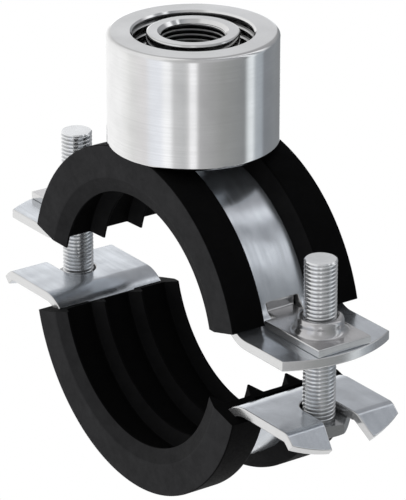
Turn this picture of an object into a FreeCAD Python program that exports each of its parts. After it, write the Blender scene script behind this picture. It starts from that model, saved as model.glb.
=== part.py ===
import FreeCAD, Part
import math
import os

# Rubber lined pipe clamp in two halves, held by two side screws.
# Frame, in millimetres: the origin is on the axis of the pipe, half way along the width of the clamp.
# X runs from one side screw to the other, Y along the pipe, Z up to the connection boss.

# Strip steel of both bands
strip_half_width = 19.5
strip_thickness = 3.0
band_inner_radius = 45.5
band_outer_radius = band_inner_radius + strip_thickness
ear_bend_radius = 9.0
upper_ear_face = 11.6
lower_ear_face = 12.1
lower_ring_drop = 1.3
ear_end_sagitta = 5.5
ear_margin = 13.4
ear_end_radius = (strip_half_width ** 2 + ear_end_sagitta ** 2) / (2 * ear_end_sagitta)

# Place of the side screws
screw_stand_off = 15.5
screw_offset = band_outer_radius + screw_stand_off
upper_ear_reach = screw_offset + ear_margin

# Fork of the lower ears
fold_margin = 8.8
fold_start = screw_offset + fold_margin
fold_radius = 0.5
fold_angle = 42.0
tip_reach = 8.2
fork_flare_angle = 15.0

# Side screws, full thread, drawn with the plain cylinder of the thread's crests
screw_radius = 4.93
screw_length = 50.0
screw_end_chamfer = 0.9
head_across_flats = 17.0
head_height = 4.0
head_chamfer_angle = 30.0
head_flat_margin = 0.4
head_turn = 12.0
head_seat_gap = 0.05
thread_running_clearance = 0.06
fork_slot_clearance = 0.77
fork_slot_half_width = screw_radius + fork_slot_clearance
ear_hole_clearance = 0.87
ear_hole_radius = screw_radius + ear_hole_clearance

# Nut plates with a drawn collar and a hooked tongue
plate_thickness = 2.5
plate_half_width = 9.5
plate_inner_gap = 1.0
plate_inner_end = band_outer_radius + plate_inner_gap
plate_outer_margin = 12.0
plate_outer_end = screw_offset + plate_outer_margin
plate_bend_clearance = 0.1
collar_height = 4.6
collar_bore_radius = screw_radius + thread_running_clearance
collar_rim_wall = 1.0
collar_rim_radius = collar_bore_radius + collar_rim_wall
collar_shoulder_drop = 0.95
collar_wall = 2.11
collar_radius = collar_bore_radius + collar_wall
collar_foot_wall = 3.81
collar_foot_radius = collar_bore_radius + collar_foot_wall
collar_ring_lap = 0.5
collar_fillet_height = 1.7
collar_fillet_waist = 0.5
collar_fillet_rise = 0.6
collar_mouth_chamfer = 0.45
tongue_half_width = 5.0
tongue_lap = 6.5
tongue_root = plate_inner_end + tongue_lap
hook_depth = 1.0
hook_front = band_inner_radius - hook_depth
hook_thickness = 1.9
hook_rise = 5.4
hook_top = upper_ear_face + hook_rise
hook_outer_bend = 3.0
hook_inner_bend = 0.6
tongue_side_clearance = 0.9
band_slot_half_width = tongue_half_width + tongue_side_clearance
hook_top_clearance = 0.3
band_slot_top = hook_top + hook_top_clearance
band_slot_run_out = 0.3
slot_corner_radius = 0.5

# Rubber profile that wraps the edges of the strip
web_thickness = 1.3
web_inner_radius = band_inner_radius - web_thickness
ridge_height = 4.7
ridge_crest_radius = web_inner_radius - ridge_height
flange_height = 5.7
flange_outer_radius = band_outer_radius + flange_height
side_face_inset = 1.0
flange_crease_radius = band_inner_radius - side_face_inset
edge_wall = 3.5
liner_half_width = strip_half_width + edge_wall
lip_inset = 2.0
lip_position = liner_half_width - lip_inset
inner_ridge_position = 7.0
ridge_half_base = 2.4
crest_half_flat = 0.3
flange_wall_foot = 9.0
flange_wall_draft = 2.3
flange_wall_top = flange_wall_foot + flange_wall_draft
liner_end_angle = 15.0
hook_pocket_depth = 0.75
hook_pocket_radius = band_inner_radius - hook_pocket_depth
hook_pocket_end_angle = 23.0
hook_pocket_clearance = 0.8
hook_pocket_half_width = tongue_half_width + hook_pocket_clearance

# Connection boss, turned: outer ring, annular groove, central tube, neck to the band
boss_radius = 26.05
boss_stand_off = 4.65
boss_bottom = band_outer_radius + boss_stand_off
boss_height = 35.0
boss_top = boss_bottom + boss_height
boss_top_round = 1.2
boss_bottom_chamfer = 1.0
ring_thread_radius = 18.3
ring_mouth_chamfer = 0.85
boss_floor_thickness = 8.0
groove_floor = boss_bottom + boss_floor_thickness
tube_radius = 14.0
tube_rim_chamfer = 0.5
tube_thread_radius = 9.6
tube_mouth_chamfer = 1.1
tube_mouth_radius = tube_thread_radius + tube_mouth_chamfer
tube_bore_rise = 0.85
tube_bore_bottom = groove_floor + tube_bore_rise
neck_radius = 7.4
weld_leg = 1.3
weld_toe_drop = 0.43


def corner(x, z):
    return FreeCAD.Vector(x, 0, z)


def arc_edge(centre, radius, start_deg, end_deg):
    # An arc in the XZ plane, given by its centre and two directions.
    points = []
    for angle in (start_deg, (start_deg + end_deg) / 2, end_deg):
        turn = math.radians(angle)
        points.append(centre + corner(radius * math.cos(turn), radius * math.sin(turn)))
    return Part.Arc(points[0], points[1], points[2]).toShape()


def closed_face(edges):
    # Joins arcs and edges, in order, with straight lines into one face.
    chain = []
    for index, edge in enumerate(edges):
        following = edges[(index + 1) % len(edges)]
        chain.append(edge)
        start = edge_end(edge)
        finish = edge_start(following)
        if start.distanceToPoint(finish) > 1e-7:
            chain.append(Part.makeLine(start, finish))
    return Part.Face(Part.Wire(chain))


def edge_start(edge):
    return edge.valueAt(edge.FirstParameter)


def edge_end(edge):
    return edge.valueAt(edge.LastParameter)


def line(start, finish):
    return Part.makeLine(start, finish)


def extrude_width(face, half_width):
    # Extrudes a face of the XZ plane evenly to both sides along Y.
    face.translate(FreeCAD.Vector(0, -half_width, 0))
    return face.extrude(FreeCAD.Vector(0, 2 * half_width, 0))


def turned(points, centre_x=0.0):
    # A full revolve about a vertical axis from (radius, height) points.
    outline = [FreeCAD.Vector(centre_x + radius, 0, height) for radius, height in points]
    outline.append(outline[0])
    face = Part.Face(Part.makePolygon(outline))
    return face.revolve(FreeCAD.Vector(centre_x, 0, 0), FreeCAD.Vector(0, 0, 1), 360)


def mirror_x(shape):
    return shape.mirror(FreeCAD.Vector(0, 0, 0), FreeCAD.Vector(1, 0, 0))


def mirror_z(shape):
    return shape.mirror(FreeCAD.Vector(0, 0, 0), FreeCAD.Vector(0, 0, 1))


def ear_bend_centre(ear_face):
    # The bend's centre touches both the ring's outside and the ear's face at the bend radius.
    height = ear_face + ear_bend_radius
    reach = band_outer_radius + ear_bend_radius
    return corner(math.sqrt(reach ** 2 - height ** 2), height)


def ring_and_bend(ear_face):
    # Outside and inside edges of half a ring with its ear bend, from the crown to the flat ear.
    centre = ear_bend_centre(ear_face)
    tangent = math.degrees(math.atan2(centre.z, centre.x))
    origin = corner(0, 0)
    outside = [
        arc_edge(origin, band_outer_radius, 90, tangent),
        arc_edge(centre, ear_bend_radius, 180 + tangent, 270),
    ]
    inside = [
        arc_edge(centre, ear_bend_radius + strip_thickness, 270, 180 + tangent),
        arc_edge(origin, band_inner_radius, tangent, 90),
    ]
    return outside, inside


def end_trim(apex):
    # What is cut off a flat ear to leave its arc-shaped end, apex at the given reach.
    depth = 2 * ear_end_sagitta
    block = Part.makeBox(
        2 * depth,
        4 * strip_half_width,
        2 * depth,
        FreeCAD.Vector(apex - depth, -2 * strip_half_width, -depth),
    )
    disc = Part.makeCylinder(ear_end_radius, 4 * depth, FreeCAD.Vector(apex - ear_end_radius, 0, -2 * depth))
    return block.cut(disc)


def both_sides(half):
    return half.fuse(mirror_x(half)).removeSplitter()


def build_upper_band():
    outside, inside = ring_and_bend(upper_ear_face)
    ear_end = line(
        corner(upper_ear_reach, upper_ear_face),
        corner(upper_ear_reach, upper_ear_face - strip_thickness),
    )
    half = extrude_width(closed_face(outside + [ear_end] + inside), strip_half_width)
    trim = end_trim(upper_ear_reach)
    trim.translate(corner(0, upper_ear_face))
    half = half.cut(trim)
    half = half.cut(Part.makeCylinder(ear_hole_radius, 4 * strip_thickness, corner(screw_offset, 0)))
    return both_sides(half.cut(tongue_slot()))


def tongue_slot():
    # Punched through the ear bend, open from its top edge down to the start of the flat ear.
    bend = ear_bend_centre(upper_ear_face)
    low = upper_ear_face - 2 * strip_thickness
    far = bend.x + band_slot_run_out
    near = hook_front - 2 * strip_thickness
    slot = Part.makeBox(
        far - near,
        2 * band_slot_half_width,
        band_slot_top - low,
        FreeCAD.Vector(near, -band_slot_half_width, low),
    )
    top_edges = []
    for edge in slot.Edges:
        middle = edge.BoundBox.Center
        along_x = edge.BoundBox.XLength > edge.BoundBox.YLength + edge.BoundBox.ZLength
        if along_x and abs(middle.z - band_slot_top) < 1e-6:
            top_edges.append(edge)
    return slot.makeFillet(slot_corner_radius, top_edges)


def fork_slot():
    # Gap for the screw: round at its root, parallel up to the fold, wider towards the tips.
    height = 3 * lower_ear_face
    rounded = Part.makeCylinder(fork_slot_half_width, height, corner(screw_offset, 0))
    reach = fold_start + 2 * tip_reach
    mouth_half_width = fork_slot_half_width + 2 * tip_reach * math.tan(math.radians(fork_flare_angle))
    outline = [
        FreeCAD.Vector(screw_offset, -fork_slot_half_width, 0),
        FreeCAD.Vector(fold_start, -fork_slot_half_width, 0),
        FreeCAD.Vector(reach, -mouth_half_width, 0),
        FreeCAD.Vector(reach, mouth_half_width, 0),
        FreeCAD.Vector(fold_start, fork_slot_half_width, 0),
        FreeCAD.Vector(screw_offset, fork_slot_half_width, 0),
    ]
    outline.append(outline[0])
    mouth = Part.Face(Part.makePolygon(outline)).extrude(corner(0, height))
    return rounded.fuse(mouth)


def lowered(shape):
    # The lower half is drawn like the upper one, then turned over and set to its place on the screws.
    turned_over = mirror_z(shape)
    turned_over.translate(corner(0, -lower_ring_drop))
    return turned_over


def build_lower_band():
    outside, inside = ring_and_bend(lower_ear_face)
    fold_centre = corner(fold_start, lower_ear_face + fold_radius)
    outer_fold_radius = fold_radius + strip_thickness
    lean = math.radians(fold_angle)
    slope = corner(math.cos(lean), math.sin(lean))
    inner_fold = arc_edge(fold_centre, fold_radius, 270, 270 + fold_angle)
    outer_fold = arc_edge(fold_centre, outer_fold_radius, 270 + fold_angle, 270)
    tip_inner = edge_end(inner_fold) + slope * tip_reach
    tip_outer = edge_start(outer_fold) + slope * tip_reach
    edges = outside + [inner_fold, line(tip_inner, tip_outer), outer_fold] + inside
    half = extrude_width(closed_face(edges), strip_half_width)
    trim = end_trim(tip_reach)
    trim.rotate(FreeCAD.Vector(0, 0, 0), FreeCAD.Vector(0, -1, 0), fold_angle)
    trim.translate(edge_start(outer_fold))
    half = half.cut(trim).cut(fork_slot())
    return lowered(both_sides(half))


def ridge(position, height):
    # One ridge of the profile as (radius, y) points, with a small rounded-off crest.
    return [
        (height, position - ridge_half_base),
        (ridge_crest_radius, position - crest_half_flat),
        (ridge_crest_radius, position + crest_half_flat),
        (height, position + ridge_half_base),
    ]


def liner_section():
    # The section from the middle to one edge as (radius, y) points, inside first.
    lip = ridge(lip_position, web_inner_radius)
    inside = ridge(inner_ridge_position, web_inner_radius) + lip[:3]
    outside = [
        (flange_crease_radius, liner_half_width),
        (flange_outer_radius, liner_half_width),
        (flange_outer_radius, flange_wall_top),
        (band_outer_radius, flange_wall_foot),
        (band_inner_radius, flange_wall_foot),
    ]
    return inside + outside


def swept_round_pipe(section, start_angle, sweep_angle):
    # Turns a (radius, y) section about the pipe axis, angles counted from +X up to the crown.
    points = [FreeCAD.Vector(radius, y, 0) for radius, y in section]
    points.append(points[0])
    face = Part.Face(Part.makePolygon(points))
    origin = FreeCAD.Vector(0, 0, 0)
    upwards = FreeCAD.Vector(0, -1, 0)
    face.rotate(origin, upwards, start_angle)
    return face.revolve(origin, upwards, sweep_angle)


def build_liner():
    half = liner_section()
    other_half = [(radius, -y) for radius, y in reversed(half)]
    return swept_round_pipe(half + other_half, liner_end_angle, 180 - 2 * liner_end_angle)


def hook_pocket():
    # Shallow recess in the back of the web, where the upturned end of the tongue stands.
    section = [
        (hook_pocket_radius, -hook_pocket_half_width),
        (band_outer_radius, -hook_pocket_half_width),
        (band_outer_radius, hook_pocket_half_width),
        (hook_pocket_radius, hook_pocket_half_width),
    ]
    return swept_round_pipe(section, 0, hook_pocket_end_angle)


def build_upper_liner(band):
    liner = build_liner().cut(band)
    pocket = hook_pocket()
    liner = liner.cut(pocket).cut(mirror_x(pocket))
    pressed_flat = Part.makeCylinder(boss_radius + boss_bottom_chamfer, boss_height, corner(0, boss_bottom))
    return liner.cut(pressed_flat)


def build_lower_liner(band):
    return lowered(build_liner()).cut(band)


def tongue():
    # The tongue with its upturned end, drawn from the side.
    low = upper_ear_face
    high = upper_ear_face + plate_thickness
    back = hook_front - hook_thickness
    outer_bend = arc_edge(corner(back + hook_outer_bend, low + hook_outer_bend), hook_outer_bend, 270, 180)
    inner_bend = arc_edge(
        corner(hook_front + hook_inner_bend, high + hook_inner_bend), hook_inner_bend, 180, 270
    )
    top = line(corner(back, hook_top), corner(hook_front, hook_top))
    root = line(corner(tongue_root, high), corner(tongue_root, low))
    return extrude_width(closed_face([outer_bend, top, inner_bend, root]), tongue_half_width)


def bend_relief():
    # Lifts the underside of the plate's inner end off the curve of the ear bend.
    bend = ear_bend_centre(upper_ear_face)
    block = Part.makeBox(
        bend.x - band_outer_radius,
        4 * plate_half_width,
        ear_bend_radius,
        FreeCAD.Vector(band_outer_radius, -2 * plate_half_width, upper_ear_face),
    )
    roller = Part.makeCylinder(
        ear_bend_radius - plate_bend_clearance,
        6 * plate_half_width,
        FreeCAD.Vector(bend.x, -3 * plate_half_width, bend.z),
        FreeCAD.Vector(0, 1, 0),
    )
    return block.cut(roller)


def collar():
    # Material drawn up round the thread: hollow fillet at the foot, upright wall, sloping shoulder.
    low = upper_ear_face
    plate_top = upper_ear_face + plate_thickness
    rim = plate_top + collar_height
    return turned(
        [
            (collar_bore_radius, low),
            (collar_foot_radius, low),
            (collar_foot_radius, plate_top),
            (collar_radius + collar_fillet_waist, plate_top + collar_fillet_rise),
            (collar_radius, plate_top + collar_fillet_height),
            (collar_radius, rim - collar_shoulder_drop),
            (collar_rim_radius, rim),
            (collar_bore_radius + collar_mouth_chamfer, rim),
            (collar_bore_radius, rim - collar_mouth_chamfer),
        ],
        screw_offset,
    )


def build_nut_plate():
    # Right-hand plate; the left one is its mirror image.
    plate = Part.makeBox(
        plate_outer_end - plate_inner_end,
        2 * plate_half_width,
        plate_thickness,
        FreeCAD.Vector(plate_inner_end, -plate_half_width, upper_ear_face),
    )
    plate = plate.cut(bend_relief()).fuse(tongue())
    plate = plate.cut(Part.makeCylinder(collar_foot_radius - collar_ring_lap, boss_top, corner(screw_offset, 0)))
    return plate.fuse(collar()).removeSplitter()


def build_screw():
    # Right-hand screw, head down under the fork.
    seat = -lower_ear_face - lower_ring_drop - head_seat_gap
    head_bottom = seat - head_height
    shank = turned(
        [
            (0, seat - head_height / 2),
            (screw_radius, seat - head_height / 2),
            (screw_radius, seat + screw_length - screw_end_chamfer),
            (screw_radius - screw_end_chamfer, seat + screw_length),
            (0, seat + screw_length),
        ],
        screw_offset,
    )
    half_flats = head_across_flats / 2
    corner_radius = half_flats / math.cos(math.pi / 6)
    face_radius = half_flats - head_flat_margin
    rim_drop = (corner_radius - face_radius) * math.tan(math.radians(head_chamfer_angle))
    hexagon = []
    for index in range(7):
        turn = math.radians(head_turn + 60 * index)
        hexagon.append(
            FreeCAD.Vector(
                screw_offset + corner_radius * math.cos(turn),
                corner_radius * math.sin(turn),
                head_bottom,
            )
        )
    prism = Part.Face(Part.makePolygon(hexagon)).extrude(FreeCAD.Vector(0, 0, head_height))
    rounding = turned(
        [
            (0, head_bottom),
            (face_radius, head_bottom),
            (corner_radius, head_bottom + rim_drop),
            (corner_radius, seat),
            (0, seat),
        ],
        screw_offset,
    )
    return prism.common(rounding).fuse(shank).removeSplitter()


def build_boss():
    mouth_depth = tube_mouth_radius - tube_thread_radius
    weld_bottom = band_outer_radius - weld_leg
    weld_height = band_outer_radius + weld_leg
    rounded_rim = []
    rim_steps = 2
    for step in range(rim_steps + 1):
        turn = math.pi / 2 * step / rim_steps
        rounded_rim.append(
            (
                boss_radius - boss_top_round + boss_top_round * math.cos(turn),
                boss_top - boss_top_round + boss_top_round * math.sin(turn),
            )
        )
    outline = [
        (0, weld_bottom),
        (neck_radius + weld_leg, weld_bottom),
        (neck_radius + weld_leg, band_outer_radius - weld_toe_drop),
        (neck_radius, weld_height),
        (neck_radius, boss_bottom),
        (boss_radius - boss_bottom_chamfer, boss_bottom),
        (boss_radius, boss_bottom + boss_bottom_chamfer),
    ]
    outline += rounded_rim
    outline += [
        (ring_thread_radius + ring_mouth_chamfer, boss_top),
        (ring_thread_radius, boss_top - ring_mouth_chamfer),
        (ring_thread_radius, groove_floor),
        (tube_radius, groove_floor),
        (tube_radius, boss_top - tube_rim_chamfer),
        (tube_radius - tube_rim_chamfer, boss_top),
        (tube_mouth_radius, boss_top),
        (tube_thread_radius, boss_top - mouth_depth),
        (tube_thread_radius, tube_bore_bottom),
        (0, tube_bore_bottom),
    ]
    crown = Part.makeCylinder(
        band_outer_radius,
        4 * neck_radius,
        FreeCAD.Vector(0, -2 * neck_radius, 0),
        FreeCAD.Vector(0, 1, 0),
    )
    return turned(outline).cut(crown)


def main():
    os.makedirs("parts", exist_ok=True)
    upper_band = build_upper_band()
    lower_band = build_lower_band()
    nut_plate = build_nut_plate()
    screw = build_screw()
    pieces = {
        "connection_boss": build_boss(),
        "upper_band": upper_band,
        "lower_band": lower_band,
        "upper_liner": build_upper_liner(upper_band),
        "lower_liner": build_lower_liner(lower_band),
        "right_nut_plate": nut_plate,
        "left_nut_plate": mirror_x(nut_plate),
        "right_screw": screw,
        "left_screw": mirror_x(screw),
    }
    for name, shape in pieces.items():
        shape.exportStep("parts/" + name + ".step")


main()
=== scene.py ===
import math

import bmesh
import bpy
from bpy.props import FloatProperty, FloatVectorProperty, IntProperty, PointerProperty
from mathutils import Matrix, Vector


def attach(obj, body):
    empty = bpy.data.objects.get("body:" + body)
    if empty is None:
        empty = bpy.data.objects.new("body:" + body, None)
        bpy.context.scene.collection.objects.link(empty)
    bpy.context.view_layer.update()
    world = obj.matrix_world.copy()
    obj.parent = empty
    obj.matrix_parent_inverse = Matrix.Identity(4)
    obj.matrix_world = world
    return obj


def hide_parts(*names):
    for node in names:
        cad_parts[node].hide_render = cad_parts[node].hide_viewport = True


bl_info = {
    "name": "Rubber lined pipe clamp",
    "version": (1, 0, 0),
    "blender": (4, 5, 0),
    "location": "3D View > Sidebar > Pipe clamp",
    "description": "Builds a two-part pipe clamp with rubber lining, side screws and a threaded boss",
    "category": "Add Mesh",
}

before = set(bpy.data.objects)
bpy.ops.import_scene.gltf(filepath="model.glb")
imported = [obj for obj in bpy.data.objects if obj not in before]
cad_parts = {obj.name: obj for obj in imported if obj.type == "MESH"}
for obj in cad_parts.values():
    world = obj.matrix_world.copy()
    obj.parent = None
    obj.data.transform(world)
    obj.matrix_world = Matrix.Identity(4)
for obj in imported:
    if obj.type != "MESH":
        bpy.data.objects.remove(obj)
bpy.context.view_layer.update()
MM = 0.001


# Sizes and finishes that a user may change. Here, lengths are in millimetres and angles in degrees.


def length(name, description, size):
    return FloatProperty(name=name, description=description, default=size * MM, unit="LENGTH", precision=5)


def angle(name, description, turn):
    return FloatProperty(name=name, description=description, default=math.radians(turn), unit="ROTATION")


def share(name, description, default):
    return FloatProperty(name=name, description=description, default=default, min=0, max=1)


def colour(name, description, default):
    return FloatVectorProperty(
        name=name, description=description, default=default, size=3, min=0, max=1, subtype="COLOR"
    )


class PIPECLAMP_StripSizes(bpy.types.PropertyGroup):
    half_width: length("Half width", "Half the width of the strip steel", 19.5)
    thickness: length("Thickness", "Thickness of the strip steel", 3.0)
    inner_radius: length("Inner radius", "Radius inside the band's ring", 45.5)
    bend_radius: length("Ear bend radius", "Hollow radius between the ring and an ear", 9.0)
    upper_face: length("Upper ear face", "Height of the upper ear's outer face over the pipe axis", 11.6)
    lower_face: length("Lower ear face", "Depth of the lower ear's outer face under its ring's middle", 12.1)
    lower_drop: length("Lower ring drop", "How much lower the lower ring hangs at rest", 1.3)
    upper_reach: length("Upper ear reach", "From the middle to the apex of an upper ear", 77.4)
    end_sagitta: length("Ear end rise", "Rise of the arc at an ear's end", 5.5)
    fold_start: length("Fold start", "From the middle to the fold of a fork's prongs", 72.8)
    fold_radius: length("Fold radius", "Hollow radius of the prongs' fold", 0.5)
    fold_angle: angle("Fold angle", "How far the prongs bend down", 42)
    tip_reach: length("Tip reach", "From the fold to the apex of a prong's end", 8.2)
    fork_half_width: length("Fork half width", "Half the width of the fork's slot", 5.7)
    fork_flare: angle("Fork flare", "How far each side of the fork's mouth leans outward", 15)
    ear_hole: length("Ear hole radius", "Radius of the screw's hole in an upper ear", 5.8)
    slot_half_width: length("Slot half width", "Half the width of the slot for the nut plate", 5.9)
    edge_round: length("Edge rounding", "Rounding along the cut edges", 0.3)


class PIPECLAMP_LinerSizes(bpy.types.PropertyGroup):
    half_width: length("Half width", "Half the width of the rubber profile", 23.0)
    outer_radius: length("Outer radius", "Radius of the edge flanges", 54.2)
    crease_radius: length("Crease radius", "Where the side face turns into the lip's slope", 44.5)
    web_radius: length("Web radius", "Inside radius of the web between ridges", 44.2)
    ridge_radius: length("Ridge radius", "Radius of the ridge crests", 39.5)
    lip_place: length("Lip place", "Distance of the outer lips from the middle", 21.0)
    ridge_place: length("Ridge place", "Distance of the inner ridges from the middle", 7.0)
    ridge_base: length("Ridge half base", "Half the width of a ridge at its foot", 2.4)
    wall_foot: length("Flange wall foot", "Distance of the flange wall from the middle, at the strip", 9.0)
    wall_top: length("Flange wall top", "Distance of the flange wall from the middle, outside", 11.3)
    end_angle: angle("End angle", "Slope of the end faces over the parting plane", 15)


class PIPECLAMP_BossSizes(bpy.types.PropertyGroup):
    radius: length("Radius", "Outside radius of the boss", 26.05)
    bottom: length("Bottom", "Height of the boss's underside", 53.15)
    height: length("Height", "Height of the boss", 35.0)
    rim_round: length("Rim rounding", "Rounding round the top of the boss", 1.5)
    foot_chamfer: length("Foot chamfer", "Chamfer round the boss's underside", 1.0)
    ring_thread: length("Ring thread radius", "Crest radius of the thread in the outer ring", 18.3)
    ring_mouth: length("Ring mouth chamfer", "Chamfer at the mouth of the outer ring", 0.55)
    ring_depth: length("Ring thread depth", "Depth of the thread in the outer ring", 0.84)
    ring_pitch: length("Ring thread pitch", "Pitch of the thread in the outer ring", 2.85)
    groove_floor: length("Groove floor", "Height of the annular groove's floor", 61.15)
    tube_radius: length("Tube radius", "Outside radius of the central tube", 14.0)
    tube_thread: length("Tube thread radius", "Crest radius of the thread in the tube", 9.6)
    tube_mouth: length("Tube mouth chamfer", "Chamfer at the mouth of the tube", 1.1)
    tube_depth: length("Tube thread depth", "Depth of the thread in the tube", 0.8)
    tube_pitch: length("Tube thread pitch", "Pitch of the thread in the tube", 1.6)
    bore_bottom: length("Bore bottom", "Height where the thread of the tube ends", 62.0)
    neck_radius: length("Neck radius", "Radius of the neck that is welded to the band", 7.4)


class PIPECLAMP_ScrewSizes(bpy.types.PropertyGroup):
    spacing: length("Spacing", "Distance between the two screws", 128.0)
    radius: length("Thread radius", "Crest radius of the thread", 4.93)
    pitch: length("Thread pitch", "Pitch of the thread", 1.25)
    depth: length("Thread depth", "Depth of the thread", 0.72)
    reach: length("Length", "Length under the head", 50.0)
    seat: length("Seat depth", "Depth of the head's bearing face under the pipe axis", 13.45)
    head_width: length("Head width", "Across the flats of the hexagon", 17.0)
    head_height: length("Head height", "Height of the hexagon", 4.0)
    head_turn: angle("Head turn", "How far the hexagon is turned at rest", 12)
    end_chamfer: length("End chamfer", "Chamfer at the end of the thread", 0.35)
    rows: IntProperty(
        name="Rows per turn", description="Rows of faces on one turn of thread", default=12, min=6
    )


class PIPECLAMP_PlateSizes(bpy.types.PropertyGroup):
    thickness: length("Thickness", "Thickness of the nut plate", 2.5)
    half_width: length("Half width", "Half the width of the nut plate", 9.5)
    inner_end: length("Inner end", "Where the wide part starts", 49.5)
    outer_end: length("Outer end", "Where the plate ends", 76.0)
    tongue_half_width: length("Tongue half width", "Half the width of the tongue", 5.0)
    hook_front: length("Hook front", "Place of the upturned end's front face", 44.5)
    hook_thickness: length("Hook thickness", "Thickness of the upturned end", 1.9)
    hook_top: length("Hook top", "Height of the upturned end", 17.0)
    collar_height: length("Collar height", "Height of the collar over the plate", 4.6)
    collar_rim: length("Collar rim radius", "Radius of the flat rim of the collar", 5.99)
    collar_shoulder: length("Collar shoulder", "Drop of the collar's rounded shoulder", 1.35)
    collar_wall: length("Collar wall radius", "Outside radius of the collar's upright wall", 7.1)
    collar_fillet: length("Collar fillet", "Height of the hollow fillet at the collar's foot", 2.4)
    collar_foot: length("Collar foot radius", "Radius where the collar rises from the plate", 8.8)
    bore: length("Bore radius", "Radius of the screw's hole", 4.99)


class PIPECLAMP_Finishes(bpy.types.PropertyGroup):
    turned_steel: colour("Turned steel", "Bright turned face of the boss", (0.80, 0.80, 0.80))
    zinc_strip: colour("Zinc strip", "Satin plated strip of the bands", (0.62, 0.65, 0.69))
    zinc_plate: colour("Zinc plate", "Pressed and plated nut plates", (0.56, 0.555, 0.56))
    zinc_screw: colour("Zinc screw", "Bright plated screws", (0.84, 0.85, 0.86))
    cut_edge: colour("Cut edge", "Paler sheared edge of plated steel", (0.66, 0.66, 0.66))
    rubber: colour("Rubber", "Smooth outside of the black rubber", (0.0025, 0.0025, 0.0026))
    # The paler side colour is painted light on the faces along the pipe.
    rubber_side: colour("Rubber side", "Duller side faces of the black rubber", (0.0265, 0.0265, 0.0275))


class PIPECLAMP_Stage(bpy.types.PropertyGroup):
    floor_depth: length("Floor depth", "Depth of the floor under the pipe axis", 450)
    floor_radius: length("Floor radius", "Radius of the floor", 600)
    floor_glow: share("Floor glow", "Share of plain white in what the camera sees of the floor", 0.8)
    glossy_white: share("White in metal", "Share of the white background that metal reflects", 0.2)
    glossy_floor: share("Floor in metal", "Share of plain white that metal reflects of the floor", 0.85)
    panel_power: FloatProperty(
        name="Back panel power", description="Power of the soft panel behind the left fork",
        default=0.018, min=0, unit="POWER"
    )
    camera_azimuth: angle("Camera azimuth", "Turn of the camera from the front", 54.594)
    camera_elevation: angle("Camera elevation", "Height angle of the camera", 22.722)
    camera_distance: length("Camera distance", "From the camera to its target", 1088.575)
    target: FloatVectorProperty(
        name="Camera target", description="Point that the camera looks at",
        default=(0.005083, 0.0, 0.019091), subtype="XYZ", unit="LENGTH"
    )
    lens: FloatProperty(
        name="Lens", description="Focal length for a frame 36 mm high", default=258.19, unit="CAMERA"
    )


class PIPECLAMP_Settings(bpy.types.PropertyGroup):
    strip: PointerProperty(type=PIPECLAMP_StripSizes)
    liner: PointerProperty(type=PIPECLAMP_LinerSizes)
    boss: PointerProperty(type=PIPECLAMP_BossSizes)
    screw: PointerProperty(type=PIPECLAMP_ScrewSizes)
    plate: PointerProperty(type=PIPECLAMP_PlateSizes)
    finish: PointerProperty(type=PIPECLAMP_Finishes)
    stage: PointerProperty(type=PIPECLAMP_Stage)


# Materials


def new_material(name):
    material = bpy.data.materials.get(name) or bpy.data.materials.new(name)
    material.use_nodes = True
    nodes = material.node_tree.nodes
    nodes.clear()
    shader = nodes.new("ShaderNodeBsdfPrincipled")
    output = nodes.new("ShaderNodeOutputMaterial")
    material.node_tree.links.new(shader.outputs["BSDF"], output.inputs["Surface"])
    return material, shader


def feed(tree, socket, value):
    # Links an output to a socket, or sets the socket to a plain value. None leaves it alone.
    if hasattr(value, "is_output"):
        tree.links.new(value, socket)
    elif value is not None:
        socket.default_value = value


def add_node(tree, kind, sockets, **settings):
    # Adds a node with its settings made and its input sockets fed, and hands back its outputs.
    node = tree.nodes.new(kind)
    for name, value in settings.items():
        setattr(node, name, value)
    for socket, value in sockets.items():
        feed(tree, node.inputs[socket], value)
    return node.outputs


def object_noise(tree, stretch, scale, detail, roughness=0.5):
    # Noise on Object coordinates, drawn out along an axis by a small stretch value.
    place = add_node(tree, "ShaderNodeTexCoord", {})["Object"]
    place = add_node(tree, "ShaderNodeMapping", {"Vector": place, "Scale": stretch})["Vector"]
    sockets = {"Vector": place, "Scale": scale, "Detail": detail, "Roughness": roughness}
    return add_node(tree, "ShaderNodeTexNoise", sockets)["Fac"]


def math_node(tree, operation, first, second=None):
    return add_node(tree, "ShaderNodeMath", {0: first, 1: second}, operation=operation)[0]


def remap(tree, value, low, high, from_low=0.3, from_high=0.7):
    sockets = {"Value": value, "From Min": from_low, "From Max": from_high, "To Min": low, "To Max": high}
    return add_node(tree, "ShaderNodeMapRange", sockets)["Result"]


def mixed_colour(tree, factor, first, second):
    first, second = ((*each, 1) if isinstance(each, tuple) else each for each in (first, second))
    return add_node(tree, "ShaderNodeMix", {"Factor": factor, 6: first, 7: second}, data_type="RGBA")[2]


def bumped(tree, height, strength, distance, normal=None):
    sockets = {"Height": height, "Strength": strength, "Distance": distance, "Normal": normal}
    return add_node(tree, "ShaderNodeBump", sockets)["Normal"]


def face_mark(tree, name):
    return add_node(tree, "ShaderNodeAttribute", {}, attribute_name=name)["Fac"]


def shaded(value, amount):
    return tuple(min(1.0, max(0.0, part * amount)) for part in value)


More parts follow.
